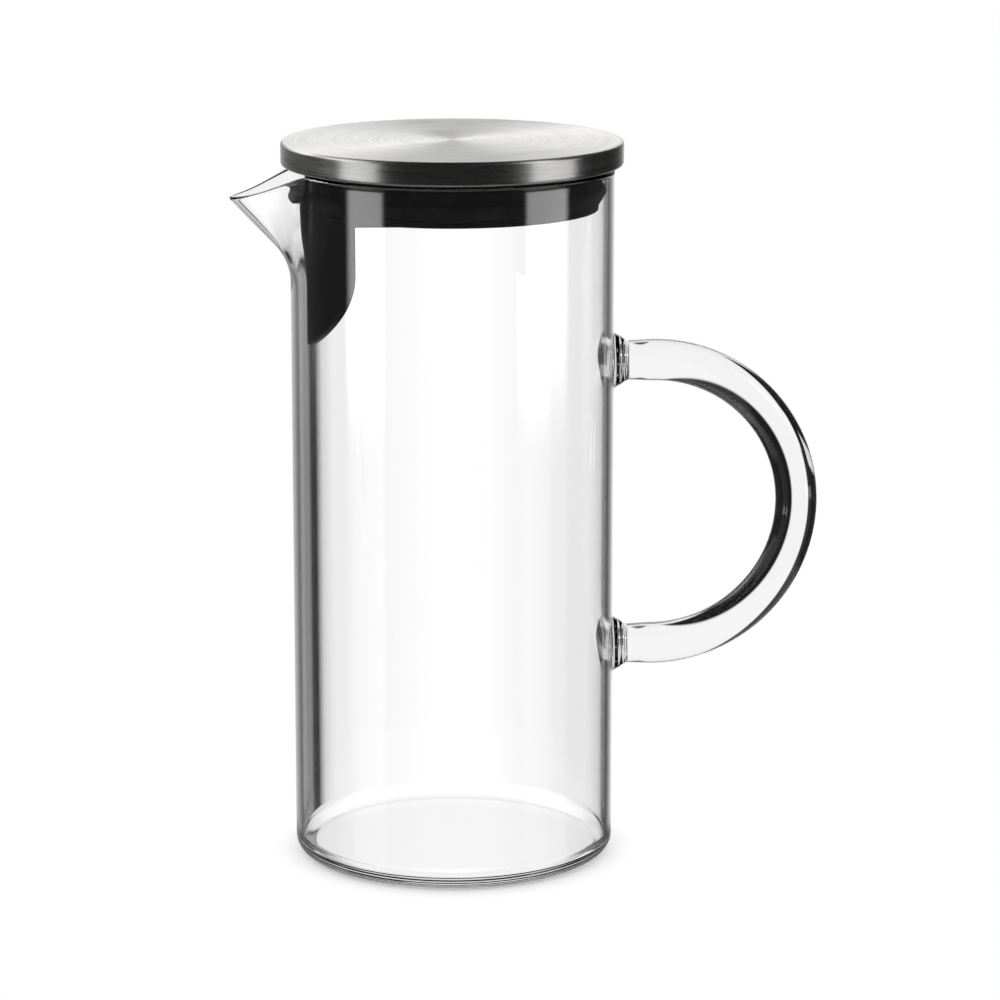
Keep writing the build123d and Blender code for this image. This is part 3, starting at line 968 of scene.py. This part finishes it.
# %% Satin black plastic
DEEP_BLACK = (0.003, 0.003, 0.0032)
CLOUDED_BLACK = (0.006, 0.006, 0.0063)
GRAIN_DEPTH = 0.03
GRAIN_STRENGTH = 0.4
SHEEN = 0.2
PLASTIC_GRAIN = 2400
PLASTIC_TOUCH = 45
SATIN = 0.5
HANDLED = 0.4

black, tree, shader, coords = new_finish("black_plastic")
grain = effect(tree, moulded_grain, coords, PLASTIC_GRAIN)
touched = effect(tree, handling_marks, coords, PLASTIC_TOUCH)["Marks"]
look = {"Base Color": two_tones(tree, grain["Flow"], DEEP_BLACK, CLOUDED_BLACK)}
look |= {"Roughness": remap(tree, touched, 0, 1, SATIN, HANDLED), "Specular IOR Level": SHEEN}
look |= {"Normal": relief(tree, grain["Height"], GRAIN_DEPTH, GRAIN_STRENGTH)}
feed(tree, shader, look)
pour_tongue.data.materials.append(black)
nodes["lid_plug"].material_slots[0].material = black
print(black.name, "on tongue and plug")

# %% [markdown]
# ## Silicone
# The seal is soft, matt and slightly tacky, so it holds a little dust, which greys it in patches. The same
# two groups make it, with a coarser grain and a rougher surface than the plastic.

# %% Matt black silicone
DUSTY_BLACK = (0.009, 0.009, 0.0092)
SILICONE_GRAIN = 1500
SILICONE_STRENGTH = 0.5
DUST_SCALE = 70
MATT_RANGE = (0.52, 0.64)

rubber, tree, shader, coords = new_finish("black_silicone")
grain = effect(tree, moulded_grain, coords, SILICONE_GRAIN)
dust = effect(tree, handling_marks, coords, DUST_SCALE)["Marks"]
look = {"Base Color": two_tones(tree, dust, DEEP_BLACK, DUSTY_BLACK)}
look |= {"Roughness": remap(tree, grain["Flow"], 0, 1, *MATT_RANGE), "Specular IOR Level": SHEEN}
look |= {"Normal": relief(tree, grain["Height"], GRAIN_DEPTH, SILICONE_STRENGTH)}
feed(tree, shader, look)
soft_seal.data.materials.append(rubber)
print(rubber.name, "on the seal")

# %% [markdown]
# ## The floor
# A pale disc carries the faint shadow of the glass. It fades into the white of the background a short
# way out, so no horizon shows. Rays that come through glass or off metal go through it to the studio.

# %% Pale floor
FLOOR_REACH = 8.0
FLOOR_SIDES = 96
FLOOR_WHITE = (0.96, 0.96, 0.96, 1)
SHADOW_START = 0.042
SHADOW_END = 0.058

clear_selection()
bpy.ops.mesh.primitive_circle_add(
    vertices=FLOOR_SIDES, radius=FLOOR_REACH, fill_type="NGON", location=(0, 0, 0)
)
floor = bpy.context.object
floor.name = "pale_floor"
floor_finish = bpy.data.materials.new("pale_floor")
floor_finish.use_nodes = True
tree = floor_finish.node_tree
tree.nodes.clear()
coords = place(tree, "TexCoord").outputs["Object"]
reach = place(tree, "VectorMath", {0: coords}, operation="LENGTH").outputs["Value"]
fade = remap(tree, reach, SHADOW_START, SHADOW_END, 0, 1, "SMOOTHSTEP")
matt = place(tree, "BsdfDiffuse", {"Color": FLOOR_WHITE}).outputs[0]
white = place(tree, "Emission", {"Strength": 1}).outputs[0]
ground = place(tree, "MixShader", {0: fade, 1: matt, 2: white}).outputs[0]
ray = place(tree, "LightPath").outputs
direct = place(tree, "Math", {0: ray["Is Camera Ray"], 1: ray["Is Diffuse Ray"]}, operation="MAXIMUM")
clear = place(tree, "BsdfTransparent").outputs[0]
shown = place(tree, "MixShader", {0: direct.outputs[0], 1: clear, 2: ground}).outputs[0]
place(tree, "OutputMaterial", {"Surface": shown})
floor.data.materials.append(floor_finish)
print("the shadow fades out", SHADOW_END / MM, "mm from the axis")

# %% [markdown]
# ## The studio
# Clear glass has no colour of its own, and shows only what stands round it. Glass is therefore
# photographed against a narrow white backdrop with dark gaps on both sides: rays that go straight
# through stay white, and rays that the curved edges bend away end in the dark and draw the outline.
# Two tall softboxes beside the camera put upright bands of light on steel and glass. The world is painted
# as rings of brightness round the studio, in degrees from the +Y side. It is no real room: Light Path
# gives rays through two walls, rays through the rod and reflections rings of their own, and some levels
# are brighter than white. The levels were found by comparing renders with the photograph.

# %% A world of rings
DARK = 0.012

studio = bpy.data.worlds.new("studio")
bpy.context.scene.world = studio
studio.use_nodes = True
studio.cycles.sampling_method = "NONE"
tree = studio.node_tree
tree.nodes.clear()


def share_of_turn(value):
    """An angle in radians as a share of a full turn."""
    return place(tree, "Math", {0: value, 1: 2 * math.pi}, operation="DIVIDE").outputs[0]


axes = place(tree, "SeparateXYZ", {0: place(tree, "TexCoord").outputs["Generated"]}).outputs
around = place(tree, "Math", {0: axes["X"], 1: axes["Y"]}, operation="ARCTAN2").outputs[0]
around = place(tree, "Math", {0: share_of_turn(around), 1: 0.5}, operation="ADD").outputs[0]
upward = share_of_turn(place(tree, "Math", {0: axes["Z"]}, operation="ARCSINE").outputs[0])


def ring(name, *panels):
    """Brightness round the studio, from panels of stops with an angle in degrees and a level."""
    stops = [(-180, DARK), *(stop for one in panels for stop in one), (180, DARK)]
    ramp = place(tree, "ValToRGB", {"Fac": around}, name=name)
    marks = ramp.color_ramp.elements
    while len(marks) < len(stops):
        marks.new(0.5)
    for mark, (angle, level) in zip(marks, stops):
        mark.position = 0.5 + angle / 360
        mark.color = (level, level, level, 1)
    print("ring", name, "with", len(stops), "stops")
    return ramp.outputs["Color"]


def panel(first, last, level, soft=0.5):
    """Stops of one bright panel between two angles, with a soft edge on both sides."""
    return [(first - soft, DARK), (first + soft, level), (last - soft, level), (last + soft, DARK)]


print("between the panels the studio has a level of", DARK)

# %% Rings for light that comes through the glass
BACKDROP = 1.15
ROD_WHITE = 0.96

backdrop = [(-28.5, DARK), (-27.5, 0.38), (-7, 0.38), (-6.2, 0.06), (-4.2, 0.02), (-3.6, 0.25)]
backdrop += [(-2.5, 1.08), (0.6, 0.99), (2.1, BACKDROP), (4.7, BACKDROP), (6, 0.96), (7.8, 0.97)]
backdrop += [(10, 1.1), (16, BACKDROP), (19, 0.25), (21, DARK)]
other_views = [panel(-101, -79, BACKDROP), panel(-57, -33, BACKDROP)]
through_walls = ring("through_walls", *other_views, backdrop, panel(123, 147, BACKDROP))
left, right = panel(-112, -72, ROD_WHITE), panel(105, 165, ROD_WHITE)
rod_level = ring("rod_level", left, panel(-17, 15.5, ROD_WHITE), right)
rod_lower = ring("rod_lower", left, panel(-60, -30, 0.8), panel(-19, 15.5, ROD_WHITE), right)
rod_steep = ring("rod_steep", left, panel(-45, 45, ROD_WHITE), right)

# %% Rings for reflections
SOFTBOX_BLUR = 1.5
WINDOW_BLUR = 4

cards = [(-45, DARK), (-38, 0.06), (-24, 0.16), (-18, 0.33), (-4.5, 0.4), (-3.5, 1), (16, 1)]
cards += [(18, 0.5), (22, 0.35), (27, 0.2), (33, 0.07), (45, DARK)]
mirrored = ring("mirrored", cards)
boxes = [panel(first, last, 1, SOFTBOX_BLUR) for first, last in ((-125.5, -97), (94, 129))]
softboxes = ring("softboxes", *boxes)
spans = [(-115, -75), (-65, -25), (-16, 24), (108, 132)]
ceiling = ring("ceiling", *(panel(first, last, 1, WINDOW_BLUR) for first, last in spans))

# %% [markdown]
# ## Choosing a ring
# Each ray that reaches the world knows how it got there. Light Path tells how many glass faces it went
# through and whether it was reflected, and its climb above the horizon tells whether it looks at the
# table, the walls or the ceiling. The rings are mixed by these numbers. The softboxes are bright in a
# strip, which the glass before the black plug mirrors at the photograph's angle, and dimmer elsewhere.
# The disc of the lid mirrors the windows in the ceiling. What the camera sees directly, and what lights
# matt surfaces, stays plain white.

# %% Mixing tools and greys
WHITE = (1, 1, 1, 1)
BLACK = (DARK, DARK, DARK, 1)
TABLE = (0.95, 0.95, 0.95, 1)
SHADE = (0.06, 0.06, 0.06, 1)
FILL = (0.7, 0.7, 0.7, 1)


def mix(share, a, b, blend="MIX"):
    """Colour a with a share of colour b."""
    return place(tree, "Mix", {0: share, 6: a, 7: b}, data_type="RGBA", blend_type=blend).outputs[2]


def pick(operation, a, b):
    """Number worked out from two numbers."""
    return place(tree, "Math", {0: a, 1: b}, operation=operation).outputs[0]


def at_least(count, number):
    """One where a ray's count has come to a number, and nought elsewhere."""
    return pick("GREATER_THAN", count, number - 0.5)


def climb(first, last, low=0, high=1):
    """Number that goes from low to high between two angles above the horizon."""
    return remap(tree, upward, first / 360, last / 360, low, high, "SMOOTHSTEP")


print("greys from", DARK, "to", WHITE[0])

# %% Light through the rod and through the walls
WALL_FACES = 3
BAND_FOOT = (-30, -28)
BAND_HEAD = (-20, -22)
STEEP = (-52, -60)
STEEPEST = (-63, -69)
HIGH = (45, 51)
TABLE_EDGE = (-31, -38)

ray = place(tree, "LightPath").outputs
lower_band = pick("MINIMUM", climb(*BAND_FOOT), climb(*BAND_HEAD))
through_rod = mix(lower_band, rod_level, rod_lower)
through_rod = mix(climb(*STEEP), through_rod, rod_steep)
through_rod = mix(climb(*STEEPEST), through_rod, BLACK)
through_rod = mix(climb(*HIGH), through_rod, BLACK)
walls = mix(climb(*TABLE_EDGE), through_walls, TABLE)
walls = mix(climb(*HIGH), walls, FILL)
seen_through = mix(at_least(ray["Transmission Depth"], WALL_FACES), through_rod, walls)
print("rays through", WALL_FACES, "glass faces or more see the backdrop")

# %% Reflections
STRIP_LEVEL = 3.3
STRIP_REST = 0.45
STRIP_FOOT = (-12, -9.5)
STRIP_HEAD = (-7.4, -6.6)
CEILING_EDGE = (5, 12)
OVERHEAD = (12, 26)
OVERHEAD_LEVEL = 2.1
SHADE_EDGE = (-36, -48)
TOP_EDGE = (30, 46)

strip_foot = climb(*STRIP_FOOT, STRIP_REST, STRIP_LEVEL)
strip_head = climb(*STRIP_HEAD, STRIP_LEVEL, STRIP_REST)
lit = mix(1, softboxes, pick("MINIMUM", strip_foot, strip_head), "MULTIPLY")
reflected = mix(1, mirrored, lit, "ADD")
overhead = mix(1, ceiling, climb(*OVERHEAD, 1, OVERHEAD_LEVEL), "MULTIPLY")
reflected = mix(climb(*CEILING_EDGE), reflected, overhead)
reflected = mix(climb(*SHADE_EDGE), reflected, SHADE)
reflected = mix(climb(*TOP_EDGE), reflected, BLACK)
print("softbox strip of level", STRIP_LEVEL)

# %% Reflections inside the glass
INSIDE_HIGH = (2, 8)
INSIDE_TABLE = (-40, -50)

off_level = pick("MAXIMUM", climb(*TABLE_EDGE), climb(*INSIDE_HIGH))
inside_glass = mix(off_level, reflected, FILL)
inside_glass = mix(climb(*INSIDE_TABLE), inside_glass, TABLE)
reflected = mix(at_least(ray["Transmission Depth"], 1), reflected, inside_glass)
print("inside the glass, rays off the level see a fill of", FILL[0])

# %% World and bounces
MAX_BOUNCES = 24
GLASS_BOUNCES = 20
MIRROR_BOUNCES = 12

room = mix(at_least(ray["Glossy Depth"], 1), seen_through, reflected)
room = mix(ray["Is Camera Ray"], room, WHITE)
room = mix(at_least(ray["Diffuse Depth"], 1), room, WHITE)
light = place(tree, "Background", {"Color": room}).outputs[0]
place(tree, "OutputWorld", {"Surface": light})
scene = bpy.context.scene
scene.cycles.max_bounces = MAX_BOUNCES
scene.cycles.transmission_bounces = GLASS_BOUNCES
scene.cycles.glossy_bounces = MIRROR_BOUNCES
print("studio with", len(tree.nodes), "nodes")
